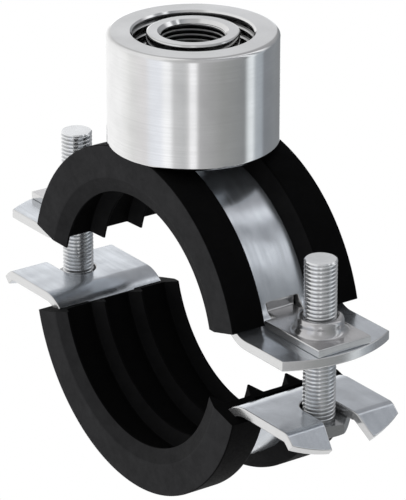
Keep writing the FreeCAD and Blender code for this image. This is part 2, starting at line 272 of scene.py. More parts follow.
def steel(name, base, edge, roughness, stretch, cloud_scale, lines_share, bump, root, patches=0.9,
          dull_crest=0.0, metal=1.0, waves=0.0):
    # Plated or turned steel: cloudy reflections, fine lines along the work, paler sheared edges,
    # painted shade in the thread roots, on the walls round a screw and over the hexagon heads,
    # and duller thread crests.
    # Metal below 1 is milky plating. Waves is the height of the unevenness of rolled strip.
    material, shader = new_material(name)
    tree = material.node_tree
    clouds = object_noise(tree, (1, 1, 1), cloud_scale, 3)
    lines = object_noise(tree, stretch, 1.0, 4, 0.65)
    body = mixed_colour(tree, remap(tree, clouds, 0, 1), shaded(base, patches), shaded(base, 1.06))
    body = mixed_colour(tree, remap(tree, lines, 0, lines_share), body, shaded(base, 0.82))
    # Painted shade: near black on the walls round a screw, darker in the thread roots and over the hexagon
    # heads.
    for mark, there in (("cut_edge", edge), ("screw_hole", shaded(base, 0.06)),
                        ("thread_root", shaded(base, root)), ("forged_head", shaded(base, 0.38))):
        body = mixed_colour(tree, face_mark(tree, mark), body, there)
    tree.links.new(body, shader.inputs["Base Color"])
    plain = remap(tree, lines, roughness * 0.8, roughness * 1.25)
    crest = math_node(tree, "MULTIPLY", face_mark(tree, "thread_crest"), dull_crest)
    tree.links.new(math_node(tree, "ADD", plain, crest), shader.inputs["Roughness"])
    shader.inputs["Metallic"].default_value = metal
    coarse = None
    if waves:
        # Strip that has been rolled and bent isn't quite even, which breaks up what it reflects.
        coarse = bumped(tree, object_noise(tree, (1, 1, 1), 75, 1), 1.0, waves)
    tree.links.new(bumped(tree, lines, bump, 0.05 * MM, coarse), shader.inputs["Normal"])
    return material


def rubber(name, smooth, side):
    # Extruded rubber: near black and smooth outside. The faces that face along the pipe are painted greyer,
    # painted light for the light they catch.
    material, shader = new_material(name)
    tree = material.node_tree
    grain = object_noise(tree, (1, 1, 1), 1500, 3)
    patches = object_noise(tree, (1, 1, 1), 200, 6, 0.7)
    outer = mixed_colour(tree, remap(tree, patches, 0, 1), shaded(smooth, 0.8), shaded(smooth, 1.4))
    flank = mixed_colour(tree, remap(tree, patches, 0, 1), shaded(side, 0.8), shaded(side, 1.24))
    # The mark mixes in the painted light of the faces along the pipe.
    mark = face_mark(tree, "side_face")
    tree.links.new(mixed_colour(tree, mark, outer, flank), shader.inputs["Base Color"])
    tree.links.new(remap(tree, grain, 0.55, 0.7), shader.inputs["Roughness"])
    shader.inputs["Specular IOR Level"].default_value = 0.03
    tree.links.new(bumped(tree, grain, 0.2, 0.03 * MM), shader.inputs["Normal"])
    return material


# Root is the share of the colour left in the painted shade of the thread roots; only the boss and the screws
# have threads.
STEELS = {
    "turned_steel": dict(roughness=0.11, stretch=(25, 25, 2600), cloud_scale=60, lines_share=0.45, bump=0.1,
                         root=0.22, patches=0.84, dull_crest=0.3),
    "zinc_strip": dict(roughness=0.2, stretch=(40, 900, 40), cloud_scale=130, lines_share=0.28, bump=0.07,
                       root=0.7, patches=0.87, metal=0.86, waves=0.34 * MM),
    "zinc_plate": dict(roughness=0.18, stretch=(60, 700, 60), cloud_scale=90, lines_share=0.25, bump=0.05,
                       root=0.7, metal=0.9),
    "zinc_screw": dict(roughness=0.15, stretch=(200, 200, 500), cloud_scale=120, lines_share=0.3, bump=0.05,
                       root=0.75, metal=0.8),
}


def finish(slot):
    # The finish of one of the record's slots, made on first use under a name of its own.
    name = slot + "_finish"
    found = bpy.data.materials.get(name)
    if found:
        return found
    colours = bpy.context.scene.pipe_clamp.finish
    if slot in STEELS:
        return steel(name, tuple(getattr(colours, slot)), tuple(colours.cut_edge), **STEELS[slot])
    return rubber(name, tuple(colours.rubber), tuple(colours.rubber_side))


# Mesh helpers


def put_in_scene(name, data):
    piece = bpy.data.objects.new(name, data)
    bpy.context.scene.collection.objects.link(piece)
    return piece


def plain_mesh(shape, name):
    mesh = bpy.data.meshes.new(name)
    shape.to_mesh(mesh)
    shape.free()
    return mesh


def evaluated_mesh(piece):
    # The mesh of an object with its modifiers applied.
    bpy.context.view_layer.update()
    return bpy.data.meshes.new_from_object(piece.evaluated_get(bpy.context.evaluated_depsgraph_get()))


def bridge(shape, lower, upper):
    # Faces between two closed rings of as many points.
    faces = []
    for index in range(len(lower)):
        following = (index + 1) % len(lower)
        faces.append(shape.faces.new((lower[index], lower[following], upper[following], upper[index])))
    return faces


def add_object(name, mesh, material, body, node):
    piece = put_in_scene(name, mesh)
    mesh.materials.clear()
    mesh.materials.append(finish(material))
    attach(piece, body)
    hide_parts(node)


def softened(mesh, sharp_angle):
    # Smooth shading, with sharp edges where the surface turns by more than an angle in degrees.
    mesh.polygons.foreach_set("use_smooth", [True] * len(mesh.polygons))
    mesh.set_sharp_from_angle(angle=math.radians(sharp_angle))
    return mesh


def smooth_mesh(shape, name, sharp_angle=32):
    bmesh.ops.remove_doubles(shape, verts=shape.verts, dist=1e-7)
    bmesh.ops.recalc_face_normals(shape, faces=shape.faces)
    return softened(plain_mesh(shape, name), sharp_angle)


def inset(loop, amount):
    # Moves a closed (x, y) loop to its left by an even amount.
    moved = []
    count = len(loop)
    for index in range(count):
        before, here, after = (Vector(loop[(index + step) % count]) for step in (-1, 0, 1))
        first = (here - before).normalized()
        second = (after - here).normalized()
        left_first = Vector((-first.y, first.x))
        left_second = Vector((-second.y, second.x))
        middle = (left_first + left_second).normalized()
        moved.append(tuple(here + middle * amount / max(0.35, middle.dot(left_first))))
    return moved


def punched_blank(outline, holes, thickness, rounding):
    # A flat sheet part with rounded edges. Outline runs anticlockwise, holes run clockwise.
    # A narrow strip beside each rounding keeps the flat faces flat in the light.
    shape = bmesh.new()
    mark = shape.faces.layers.float.new("cut_edge")
    half = thickness / 2
    strip = 0.2 * MM
    levels = [(rounding + strip, -half)]
    for part in range(4):
        turn = math.radians(30 * part)
        levels.append((rounding * (1 - math.sin(turn)), -half + rounding * (1 - math.cos(turn))))
    levels.append((0, -half + rounding + strip))
    levels += [(depth, -height) for depth, height in reversed(levels)]
    caps = {0: [], len(levels) - 1: []}
    for loop in [outline] + holes:
        rings = []
        for depth, height in levels:
            rings.append([shape.verts.new((x, y, height)) for x, y in inset(loop, depth)])
        for place, (lower, upper) in enumerate(zip(rings, rings[1:])):
            for face in bridge(shape, lower, upper):
                face[mark] = 1.0 if 0 < place < len(levels) - 2 else 0.0
        for level in caps:
            ring = rings[level]
            for pair in zip(ring, ring[1:] + ring[:1]):
                caps[level].append(shape.edges.get(pair) or shape.edges.new(pair))
    for edges in caps.values():
        bmesh.ops.triangle_fill(shape, use_beauty=True, use_dissolve=False, edges=edges)
    bmesh.ops.recalc_face_normals(shape, faces=shape.faces)
    return shape


def slice_across(shape, places):
    # Cuts the faces of a blank at places along it, so that it can bend there.
    for place in places:
        everything = shape.verts[:] + shape.edges[:] + shape.faces[:]
        bmesh.ops.bisect_plane(shape, geom=everything, dist=1e-8, plane_co=(place, 0, 0), plane_no=(1, 0, 0))


def arc_points(centre, radius, start, end, count):
    points = []
    for step in range(count + 1):
        turn = start + (end - start) * step / count
        points.append((centre[0] + radius * math.cos(turn), centre[1] + radius * math.sin(turn)))
    return points


def supported(points, closed=False, reach=0.12 * MM):
    # Adds a point just inside both ends of each long side, so that its face stays flat in the light.
    kept = []
    count = len(points)
    for index, point in enumerate(points):
        kept.append(point)
        if index == count - 1 and not closed:
            break
        here, after = Vector(point), Vector(points[(index + 1) % count])
        side = after - here
        if side.length > 5 * reach:
            step = side.normalized() * reach
            kept += [tuple(here + step), tuple(after - step)]
    return kept


def lathe(shape, points, axis_x, segments, closed=True):
    # Turns (radius, height) points about a vertical axis.
    points = supported(points, closed)
    rings = []
    for radius, height in points:
        if radius < 1e-9:
            rings.append([shape.verts.new((axis_x, 0, height))])
            continue
        ring = []
        for index in range(segments):
            turn = 2 * math.pi * index / segments
            ring.append(shape.verts.new((axis_x + radius * math.cos(turn), radius * math.sin(turn), height)))
        rings.append(ring)
    pairs = list(zip(rings, rings[1:]))
    if closed:
        pairs.append((rings[-1], rings[0]))
    for lower, upper in pairs:
        if len(lower) == len(upper) > 1:
            bridge(shape, lower, upper)
        elif len(lower) > 1:
            for first, second in zip(lower, lower[1:] + lower[:1]):
                shape.faces.new((first, second, upper[0]))
        elif len(upper) > 1:
            for first, second in zip(upper, upper[1:] + upper[:1]):
                shape.faces.new((lower[0], second, first))


# Thread, made with Geometry Nodes: a sleeve of faces whose radius follows the helix


def thread_tree():
    found = bpy.data.node_groups.get("thread sleeve")
    if found:
        return found
    tree = bpy.data.node_groups.new("thread sleeve", "GeometryNodeTree")
    face = tree.interface
    face.new_socket(name="Geometry", in_out="OUTPUT", socket_type="NodeSocketGeometry")
    for name in ("Crest Radius", "Depth", "Pitch", "Crest Share", "Flank Share", "Bottom", "Length",
                 "Run-out", "Outward", "Axis X"):
        face.new_socket(name=name, in_out="INPUT", socket_type="NodeSocketFloat")
    for name in ("Segments", "Rows per Turn", "Rows"):
        face.new_socket(name=name, in_out="INPUT", socket_type="NodeSocketInt")
    face.new_socket(name="Material", in_out="INPUT", socket_type="NodeSocketMaterial")
    given = add_node(tree, "NodeGroupInput", {})

    def step(operation, first, second=None):
        return math_node(tree, operation, first, second)

    # A grid, 2 pi wide, whose rows lean by one pitch over the turn and so follow the helix.
    spacing = step("DIVIDE", given["Pitch"], given["Rows per Turn"])
    tall = step("MULTIPLY", step("SUBTRACT", given["Rows"], 1), spacing)
    sleeve = add_node(tree, "GeometryNodeMeshGrid", {
        "Size X": 2 * math.pi, "Size Y": tall,
        "Vertices X": step("ADD", given["Segments"], 1), "Vertices Y": given["Rows"],
    })["Mesh"]
    split = add_node(tree, "ShaderNodeSeparateXYZ", {0: add_node(tree, "GeometryNodeInputPosition", {})[0]})
    turn = split["X"]
    lean = step("MULTIPLY", step("SUBTRACT", step("DIVIDE", turn, 2 * math.pi), 0.5), given["Pitch"])
    raw = step("ADD", step("ADD", split["Y"], step("MULTIPLY", tall, 0.5)), lean)
    rise = step("MINIMUM", step("MAXIMUM", raw, 0.0), given["Length"])
    to_end = step("SUBTRACT", given["Length"], rise)

    # The profile: a flat crest, straight flanks and a flat root.
    helix = step("SUBTRACT", step("DIVIDE", rise, given["Pitch"]), step("DIVIDE", turn, 2 * math.pi))
    past_crest = step("SUBTRACT", step("PINGPONG", helix, 0.5), step("MULTIPLY", given["Crest Share"], 0.5))
    flank = step("DIVIDE", past_crest, given["Flank Share"])
    groove = step("MINIMUM", step("MAXIMUM", flank, 0.0), 1.0)
    run_out = step("MINIMUM", step("DIVIDE", rise, given["Run-out"]), 1.0)
    fade = step("MINIMUM", step("DIVIDE", to_end, step("MULTIPLY", given["Pitch"], 0.4)), 1.0)
    groove = step("MULTIPLY", step("MULTIPLY", groove, run_out), fade)
    cut = step("MULTIPLY", groove, given["Depth"])
    crest = step("MULTIPLY", given["Crest Radius"], given["Outward"])
    radius = step("MULTIPLY", step("SUBTRACT", crest, cut), given["Outward"])
    # How deep in the groove a point lies; the steel paints shade in the thread roots by it.
    root = step("MINIMUM", step("MULTIPLY", groove, 2.2), 1.0)
    place = add_node(tree, "ShaderNodeCombineXYZ", {
        "X": step("ADD", step("MULTIPLY", radius, step("COSINE", turn)), given["Axis X"]),
        "Y": step("MULTIPLY", radius, step("SINE", turn)),
        "Z": step("ADD", rise, given["Bottom"]),
    })[0]

    for name, value in (("thread_root", root),
                        ("thread_crest", step("MULTIPLY", step("SUBTRACT", 1.0, root), fade))):
        sleeve = add_node(tree, "GeometryNodeStoreNamedAttribute",
                          {"Geometry": sleeve, "Name": name, "Value": value}, data_type="FLOAT")["Geometry"]
    for kind, sockets in (
        ("GeometryNodeSetPosition", {"Position": place}),
        ("GeometryNodeMergeByDistance", {"Distance": 1e-7}),
        ("GeometryNodeRealizeInstances", {}),
        ("GeometryNodeSetMaterial", {"Material": given["Material"]}),
    ):
        sleeve = add_node(tree, kind, {"Geometry": sleeve, **sockets})["Geometry"]
    add_node(tree, "NodeGroupOutput", {"Geometry": sleeve})
    return tree


def thread_sleeve(crest, depth, pitch, shares, bottom, reach, outward, axis_x, segments, rows, slot):
    # Runs the tree on an empty mesh and hands back the sleeve as a plain mesh. Shares are those of
    # the crest and a flank in one pitch. Outward is 1 for a screw and -1 for a bore.
    values = {
        "Crest Radius": crest, "Depth": depth, "Pitch": pitch, "Crest Share": shares[0],
        "Flank Share": shares[1], "Bottom": bottom, "Length": reach, "Run-out": 0.8 * pitch,
        "Outward": outward, "Axis X": axis_x, "Segments": segments, "Rows per Turn": rows,
        "Rows": math.ceil((reach / pitch + 1) * rows) + 1, "Material": finish(slot),
    }
    tree = thread_tree()
    holder = put_in_scene("thread holder", bpy.data.meshes.new("thread holder"))
    modifier = holder.modifiers.new("thread", "NODES")
    modifier.node_group = tree
    for item in tree.interface.items_tree:
        if item.item_type == "SOCKET" and item.in_out == "INPUT":
            modifier[item.identifier] = values[item.name]
    mesh = evaluated_mesh(holder)
    bpy.data.objects.remove(holder)
    return mesh


# Strip bending: a blank's (along, across, over) place is carried onto the bent line


def strip_line(sizes, face, folded):
    # Lengths and centres of the line's pieces, on the middle of the strip's thickness.
    half = sizes.thickness / 2
    ring = sizes.inner_radius + half
    outer = sizes.inner_radius + sizes.thickness
    bend = sizes.bend_radius + half
    rise = face + sizes.bend_radius
    reach = outer + sizes.bend_radius
    centre = math.sqrt(reach ** 2 - rise ** 2)
    tangent = math.atan2(rise, centre)
    first = ring * (math.pi / 2 - tangent)
    second = first + bend * (math.pi / 2 - tangent)
    line = {
        "half": half, "ring": ring, "bend": bend, "rise": rise, "centre": centre, "tangent": tangent,
        "ring_end": first, "bend_end": second, "face": face, "fold": None,
    }
    if folded:
        line["fold"] = sizes.fold_radius + half
        line["fold_centre"] = (sizes.fold_start, face + sizes.fold_radius)
        line["fold_begin"] = second + sizes.fold_start - centre
        line["fold_end"] = line["fold_begin"] + line["fold"] * sizes.fold_angle
        line["fold_angle"] = sizes.fold_angle
    return line


def on_line(line, along, over):
    # The (x, z) place of a point of one side of the strip. Over is positive towards the ear's face.
    if along <= line["ring_end"]:
        turn = along / line["ring"]
        radius = line["ring"] + over
        return radius * math.sin(turn), radius * math.cos(turn)
    if along <= line["bend_end"]:
        turn = math.pi + line["tangent"] + (along - line["ring_end"]) / line["bend"]
        radius = line["bend"] - over
        return line["centre"] + radius * math.cos(turn), line["rise"] + radius * math.sin(turn)
    level = line["face"] - line["half"]
    if line["fold"] is None or along <= line["fold_begin"]:
        return line["centre"] + along - line["bend_end"], level + over
    x, z = line["fold_centre"]
    turn = min((along - line["fold_begin"]) / line["fold"], line["fold_angle"])
    radius = line["fold"] - over
    x += radius * math.sin(turn)
    z -= radius * math.cos(turn)
    extra = max(0.0, along - line["fold_end"])
    return x + extra * math.cos(turn), z + extra * math.sin(turn)


def bend_places(line):
    # Where the blank is cut, so that its curved stretches come out round.
    places = []
    spans = [(0, line["ring_end"], 44), (line["ring_end"], line["bend_end"], 16)]
    if line["fold"]:
        spans.append((line["fold_begin"], line["fold_end"], 10))
    for start, end, count in spans:
        places += [start + (end - start) * step / count for step in range(count + 1)]
    return sorted(set(places) | {-place for place in places})


def screw_place(line):
    # Where the screw's axis goes through the blank.
    return line["bend_end"] + bpy.context.scene.pipe_clamp.screw.spacing / 2 - line["centre"]


def band_outline(sizes, line):
    # Half the blank's outline, from the lower to the upper corner of one end, then mirrored.
    width = sizes.half_width
    sagitta = sizes.end_sagitta
    arc_radius = (width ** 2 + sagitta ** 2) / (2 * sagitta)
    if line["fold"]:
        apex = line["fold_end"] + sizes.tip_reach
    else:
        apex = line["bend_end"] + sizes.upper_reach - line["centre"]
    middle = apex - arc_radius
    spread = math.asin(width / arc_radius)
    if not line["fold"]:
        side = arc_points((middle, 0), arc_radius, -spread, spread, 24)
    else:
        gap = sizes.fork_half_width
        flare = math.tan(sizes.fork_flare)
        folded_flat = (on_line(line, line["fold_end"], 0)[0] - sizes.fold_start) * flare
        lean = flare * math.cos(sizes.fold_angle)
        mouth = gap + folded_flat
        # Where the leaning side meets the end's arc.
        for _ in range(20):
            end = middle + math.sqrt(arc_radius ** 2 - mouth ** 2)
            mouth = gap + folded_flat + (end - line["fold_end"]) * lean
        inner = math.asin(mouth / arc_radius)
        near = [(line["fold_end"], gap + folded_flat), (line["fold_begin"], gap)]
        side = arc_points((middle, 0), arc_radius, -spread, -inner, 10)
        side += [(x, -y) for x, y in near]
        side += arc_points((screw_place(line), 0), gap, -math.pi / 2, -3 * math.pi / 2, 20)
        side += list(reversed(near))
        side += arc_points((middle, 0), arc_radius, inner, spread, 10)
    return side + [(-x, -y) for x, y in side]


def band_holes(sizes, line):
    # The slots for the nut plates and the screws' holes, which only the upper band has.
    if line["fold"]:
        return []
    wide = sizes.slot_half_width
    start, end = line["ring_end"] + 0.1 * MM, line["bend_end"] + 0.3 * MM
    soft = 0.5 * MM
    slot = [(end, -wide), (start + soft, -wide)]
    slot += arc_points((start + soft, -wide + soft), soft, -math.pi / 2, -math.pi, 5)[1:]
    slot += arc_points((start + soft, wide - soft), soft, math.pi, math.pi / 2, 5)
    slot += [(end, wide)]
    round_hole = arc_points((screw_place(line), 0), sizes.ear_hole, 0, -2 * math.pi, 40)[:-1]
    mirrored = [[(-x, -y) for x, y in loop] for loop in (slot, round_hole)]
    return [slot, round_hole] + mirrored


def bent_band(name, sizes, down, rounding, punched):
    # The upper band has flat ears. The lower one is turned down and has folded, forked ears.
    line = strip_line(sizes, sizes.lower_face if down else sizes.upper_face, down)
    holes = band_holes(sizes, line) if punched else []
    shape = punched_blank(band_outline(sizes, line), holes, sizes.thickness, rounding)
    slice_across(shape, bend_places(line))
    for vertex in shape.verts:
        along, across, over = vertex.co
        x, z = on_line(line, abs(along), over)
        vertex.co = (math.copysign(x, along), across, -z - sizes.lower_drop if down else z)
    return smooth_mesh(shape, name)


# Liner


def rounded_loop(corners, steps=3):
    # Replaces each corner of a closed loop of (radius, y, rounding) with a short arc-like curve.
    loop = []
    for index, (radius, y, soft) in enumerate(corners):
        here = Vector((radius, y))
        to_before, to_after = (Vector(corners[(index + step) % len(corners)][:2]) - here for step in (-1, 1))
        soft = min(soft, to_before.length * 0.45, to_after.length * 0.45)
        first = here + to_before.normalized() * soft
        last = here + to_after.normalized() * soft
        for step in range(steps + 1):
            part = step / steps
            point = first * (1 - part) ** 2 + here * 2 * part * (1 - part) + last * part ** 2
            loop.append((point.x, point.y))
    return loop


def liner_loop(sizes, strip):
    # One half of the profile, from the middle to the flange's wall, and its mirror image.
    crest = 0.3 * MM
    half = []
    for place in (sizes.ridge_place, sizes.lip_place):
        half += [
            (sizes.web_radius, place - sizes.ridge_base, 0.4 * MM),
            (sizes.ridge_radius, place - crest, 0.2 * MM),
            (sizes.ridge_radius, place + crest, 0.2 * MM),
            (sizes.web_radius, place + sizes.ridge_base, 0.4 * MM),
        ]
    half[-1] = (sizes.crease_radius, sizes.half_width, 0.3 * MM)
    half += [
        (sizes.outer_radius, sizes.half_width, 0.5 * MM),
        (sizes.outer_radius, sizes.wall_top, 0.6 * MM),
        (strip.inner_radius + strip.thickness, sizes.wall_foot, 0.1 * MM),
        (strip.inner_radius, sizes.wall_foot, 0.1 * MM),
    ]
    return rounded_loop(half + [(radius, -y, soft) for radius, y, soft in reversed(half)])


def liner_shape(sizes, strip, down):
    # The profile is carried round the pipe's axis, before the band is cut out of it.
    loop = supported(liner_loop(sizes, strip), closed=True)
    shape = bmesh.new()
    sweep = 150
    rings = []
    for step in range(sweep + 1):
        turn = sizes.end_angle + (math.pi - 2 * sizes.end_angle) * step / sweep
        ring = []
        for radius, y in loop:
            z = radius * math.sin(turn)
            ring.append(shape.verts.new((radius * math.cos(turn), y, -z - strip.lower_drop if down else z)))
        rings.append(ring)
    for first, second in zip(rings, rings[1:]):
        bridge(shape, first, second)
    for ring in (rings[0], rings[-1]):
        shape.faces.new(ring)
    bmesh.ops.recalc_face_normals(shape, faces=shape.faces)
    return plain_mesh(shape, "liner blank")


def cut_away(mesh, cutters):
    # Cuts closed meshes out of a closed mesh.
    piece = put_in_scene("blank", mesh)
    tools = [put_in_scene("cutter", cutter) for cutter in cutters]
    for tool in tools:
        modifier = piece.modifiers.new("cut", "BOOLEAN")
        modifier.operation = "DIFFERENCE"
        modifier.solver = "EXACT"
        modifier.object = tool
    result = evaluated_mesh(piece)
    for each in tools + [piece]:
        bpy.data.objects.remove(each)
    # Cutting leaves slivers thinner than a micrometre.
    shape = bmesh.new()
    shape.from_mesh(result)
    bmesh.ops.remove_doubles(shape, verts=shape.verts, dist=1e-6)
    bmesh.ops.dissolve_degenerate(shape, edges=shape.edges, dist=1e-6)
    shape.to_mesh(result)
    shape.free()
    return result


def paint_side_light(mesh, sizes):
    # Painted light: full on the side faces, less on the slopes of the outer lips and least on the inner
    # ridges, painted shade where they lie deeper in.
    side_face, lip = sizes.half_width - 0.2 * MM, sizes.lip_place - 0.3 * MM
    values = []
    for polygon in mesh.polygons:
        place = abs(polygon.center.y)
        value = 1.0 if place > side_face else 0.75 if place > lip else 0.3
        values.append(value if abs(polygon.normal.y) > 0.75 else 0.0)
    mesh.attributes.new("side_face", "FLOAT", "FACE").data.foreach_set("value", values)


def paint_hole_shade(mesh, axis_x, reach):
    # Painted shade: the upright walls round a screw are marked to be drawn near black, for the shade in the
    # hole.
    values = []
    for polygon in mesh.polygons:
        near = math.hypot(abs(polygon.center.x) - axis_x, polygon.center.y) < reach
        values.append(1.0 if near and abs(polygon.normal.z) < 0.6 else 0.0)
    mesh.attributes.new("screw_hole", "FLOAT", "FACE").data.foreach_set("value", values)


# Operators


class PIPECLAMP_OT_bands(bpy.types.Operator):
    """Bends the two strip steel bands with their ears"""

    bl_idname = "pipe_clamp.bands"
    bl_label = "Bands"

    def execute(self, context):
        sizes = context.scene.pipe_clamp.strip
        # How far from a screw's axis the walls get painted shade.
        painted_shade_reach = sizes.ear_hole + 0.6 * MM
        for half, down in (("upper", False), ("lower", True)):
            name = half + "_band_steel"
            mesh = bent_band(name, sizes, down, sizes.edge_round, punched=True)
            paint_hole_shade(mesh, context.scene.pipe_clamp.screw.spacing / 2, painted_shade_reach)
            add_object(name, mesh, "zinc_strip", half + "_half", half + "_band")
        return {"FINISHED"}


class PIPECLAMP_OT_liners(bpy.types.Operator):
    """Sweeps the rubber profile round the pipe and cuts the bands out of it"""

    bl_idname = "pipe_clamp.liners"
    bl_label = "Rubber liners"

    def execute(self, context):
        settings = context.scene.pipe_clamp
        strip, boss = settings.strip, settings.boss
        nearly_square = 0.01 * MM
        for half, down in (("upper", False), ("lower", True)):
            cutters = [bent_band("strip cutter", strip, down, nearly_square, punched=False)]
            if not down:
                cutters.append(self.boss_cutter(boss))
            mesh = softened(cut_away(liner_shape(settings.liner, strip, down), cutters), sharp_angle=34)
            paint_side_light(mesh, settings.liner)
            add_object(half + "_liner_rubber", mesh, "black_rubber", half + "_half", half + "_liner")
        return {"FINISHED"}

    def boss_cutter(self, boss):
        # A disc in the place of the boss, which the flanges stay clear of.
        clearance = 0.6 * MM
        reach, low, high = boss.radius + clearance, boss.bottom, boss.bottom + 10 * MM
        shape = bmesh.new()
        corners = [(0, low), (reach, low), (reach, high), (0, high)]
        lathe(shape, corners, axis_x=0, segments=96, closed=False)
        return smooth_mesh(shape, "boss cutter")


class PIPECLAMP_OT_screws(bpy.types.Operator):
    """Turns the two side screws with their threads and hexagon heads"""

    bl_idname = "pipe_clamp.screws"
    bl_label = "Side screws"

    def execute(self, context):
        sizes = context.scene.pipe_clamp.screw
        for side, name in ((-1, "left_screw"), (1, "right_screw")):
            mesh = self.screw_mesh(sizes, side)
            add_object(name + "_threaded", mesh, "zinc_screw", name + "_body", name)
        return {"FINISHED"}

    def screw_mesh(self, sizes, side):
        axis_x = side * sizes.spacing / 2
        segments = 72
        sunk = 1.0 * MM
        end = sizes.reach - sizes.seat
        chamfer = sizes.end_chamfer
        shape = bmesh.new()
        shape.from_mesh(thread_sleeve(
            sizes.radius, sizes.depth, sizes.pitch, (0.26, 0.28), bottom=-sizes.seat - sunk,
            reach=sizes.reach + sunk - chamfer, outward=1.0, axis_x=axis_x, segments=segments,
            rows=sizes.rows, slot="zinc_screw"
        ))
        foot = [edge for edge in shape.edges if edge.is_boundary and edge.verts[0].co.z < -sizes.seat]
        bmesh.ops.holes_fill(shape, edges=foot, sides=0)
        lathe(shape, [(sizes.radius, end - chamfer), (sizes.radius - chamfer, end), (0, end)], axis_x,
              segments, closed=False)
        self.head(shape, sizes, axis_x, side)
        return smooth_mesh(shape, "threaded screw", sharp_angle=30)

    def head(self, shape, sizes, axis_x, side):
        # A hexagon whose underside is chamfered by a cone.
        segments = 96
        # Painted shade: the whole head is marked to be drawn darker, for the shade under the fork.
        head_shade_layer = shape.verts.layers.float.new("forged_head")
        flat = sizes.head_width / 2
        rim = flat - 0.4 * MM
        ease = 0.12 * MM
        top = -sizes.seat
        bottom = top - sizes.head_height
        slope = math.tan(math.radians(30))
        rings = [[], [], [], []]
        for index in range(segments):
            turn = 2 * math.pi * index / segments
            part = (turn + math.pi / 6) % (math.pi / 3) - math.pi / 6
            wide = flat / math.cos(math.pi / 6 - abs(part))
            around = turn + sizes.head_turn * side
            levels = [(rim, bottom), (wide, bottom + (wide - rim) * slope)]
            levels += [(wide, top - ease), (wide - ease, top)]
            for ring, (radius, height) in zip(rings, levels):
                place = (axis_x + radius * math.cos(around), radius * math.sin(around), height)
                vertex = shape.verts.new(place)
                vertex[head_shade_layer] = 1.0
                ring.append(vertex)
        for lower, upper in zip(rings, rings[1:]):
            bridge(shape, lower, upper)
        shape.faces.new(list(reversed(rings[0])))
        shape.faces.new(rings[-1])


class PIPECLAMP_OT_boss(bpy.types.Operator):
    """Turns the connection boss with its two nested female threads"""

    bl_idname = "pipe_clamp.boss"
    bl_label = "Connection boss"

    def execute(self, context):
        settings = context.scene.pipe_clamp
        sizes, strip = settings.boss, settings.strip
        segments = 180
        top = sizes.bottom + sizes.height
        crown = strip.inner_radius + strip.thickness
        neck, foot, rim, tube = sizes.neck_radius, sizes.foot_chamfer, sizes.rim_round, sizes.tube_radius
        # The weld round the neck's foot, out from the neck and up from the band's crown.
        weld = [(1.3 * MM, -0.8 * MM), (0.4 * MM, 0.5 * MM), (0, 1.3 * MM)]
        outer = [(0, crown - 0.1 * MM)] + [(neck + out, crown + up) for out, up in weld]
        outer += [(neck, sizes.bottom), (sizes.radius - foot, sizes.bottom)]
        outer += arc_points((sizes.radius - foot, sizes.bottom + foot), foot, -math.pi / 3, 0, 4)
        outer += arc_points((sizes.radius - rim, top - rim), rim, 0, math.pi / 2, 8)
        outer += [(sizes.ring_thread + sizes.ring_mouth, top), (sizes.ring_thread, top - sizes.ring_mouth)]
        fillet, edge = 0.4 * MM, 0.5 * MM
        inner = [
            (sizes.ring_thread, sizes.groove_floor), (tube + fillet, sizes.groove_floor),
            (tube, sizes.groove_floor + fillet), (tube, top - edge),
            (tube - 0.3 * edge, top - 0.3 * edge), (tube - edge, top),
            (sizes.tube_thread + sizes.tube_mouth, top), (sizes.tube_thread, top - sizes.tube_mouth),
        ]
        floor = [(sizes.tube_thread, sizes.bore_bottom), (0, sizes.bore_bottom)]
        shape = bmesh.new()
        for points in (outer, inner, floor):
            lathe(shape, points, axis_x=0, segments=segments, closed=False)
        for crest, mouth, depth, pitch, shares, bottom in (
            (sizes.ring_thread, sizes.ring_mouth, sizes.ring_depth, sizes.ring_pitch, (0.1, 0.17),
             sizes.groove_floor),
            (sizes.tube_thread, sizes.tube_mouth, sizes.tube_depth, sizes.tube_pitch, (0.2, 0.28),
             sizes.bore_bottom),
        ):
            shape.from_mesh(thread_sleeve(
                crest, depth, pitch, shares, bottom, reach=top - bottom - mouth, outward=-1.0,
                axis_x=0.0, segments=segments, rows=12, slot="turned_steel"
            ))
        mesh = smooth_mesh(shape, "turned boss", sharp_angle=30)
        add_object("connection_boss_turned", mesh, "turned_steel", "upper_half", "connection_boss")
        return {"FINISHED"}


